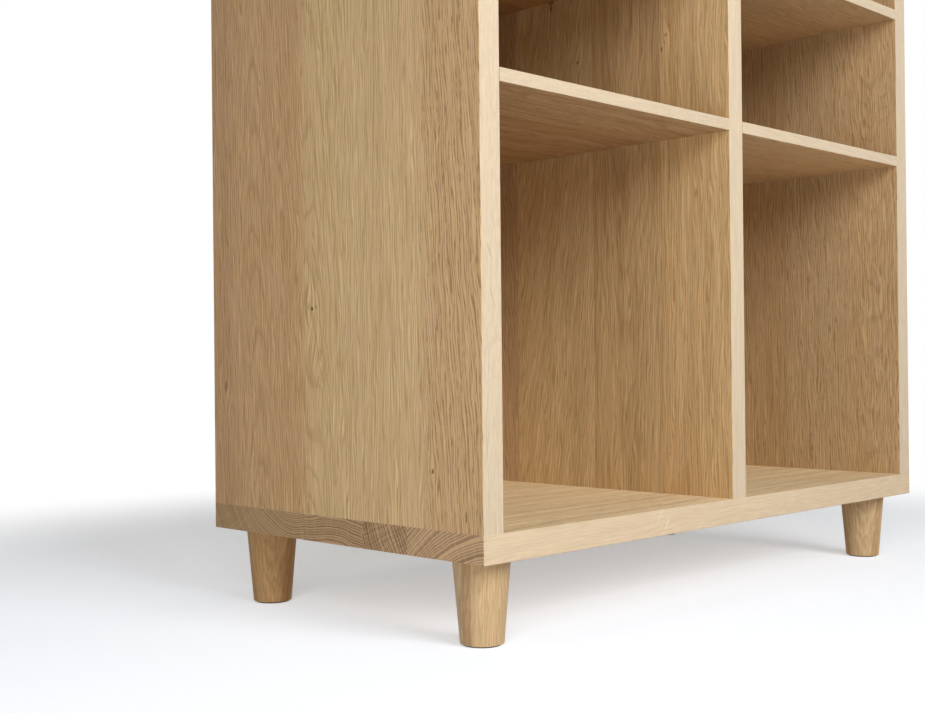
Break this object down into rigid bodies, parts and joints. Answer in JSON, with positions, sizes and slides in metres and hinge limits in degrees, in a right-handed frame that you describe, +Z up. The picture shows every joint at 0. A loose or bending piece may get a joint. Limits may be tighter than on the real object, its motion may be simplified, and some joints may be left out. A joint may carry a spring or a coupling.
{
  "type": "bookcase",
  "caption": "Solid-oak bookcase with side-by-side open bays, thin fixed shelves and a thin back, on short round tapered legs.",
  "frame": {"origin": "on the floor under the middle of the case", "axes": "+X to the right seen from the front, +Y to the back, +Z up; the open front faces -Y"},
  "size_m": [0.785, 0.4, 1.112],
  "materials": {
    "oak_boards": "matt oiled natural oak, edge-glued staves",
    "oak_back_panels": "matt oak veneer",
    "oak_legs": "matt oiled oak, turned",
    "beech_dowels": "plain beech",
    "felt": "grey-brown felt",
    "zinc_steel": "zinc-plated steel"
  },
  "bodies": {
    "root": {"bottom_board": "oak_boards", "top_board": "oak_boards", "left_side": "oak_boards", "right_side": "oak_boards", "centre_divider": "oak_boards", "lower_left_shelf": "oak_boards", "lower_right_shelf": "oak_boards", "upper_left_shelf": "oak_boards", "upper_right_shelf": "oak_boards", "left_back_panel": "oak_back_panels", "right_back_panel": "oak_back_panels", "front_left_leg": "oak_legs", "front_right_leg": "oak_legs", "back_left_leg": "oak_legs", "back_right_leg": "oak_legs", "leg_felt_pads": "felt", "leg_studs": "zinc_steel", "leg_insert_nuts": "zinc_steel", "bottom_joint_dowels": "beech_dowels", "top_joint_dowels": "beech_dowels", "left_side_shelf_dowels": "beech_dowels", "divider_left_shelf_dowels": "beech_dowels", "divider_right_shelf_dowels": "beech_dowels", "right_side_shelf_dowels": "beech_dowels", "back_panel_screws": "zinc_steel", "left_wall_bracket": "zinc_steel", "right_wall_bracket": "zinc_steel", "bracket_screws": "zinc_steel"}
  },
  "joints": []
}
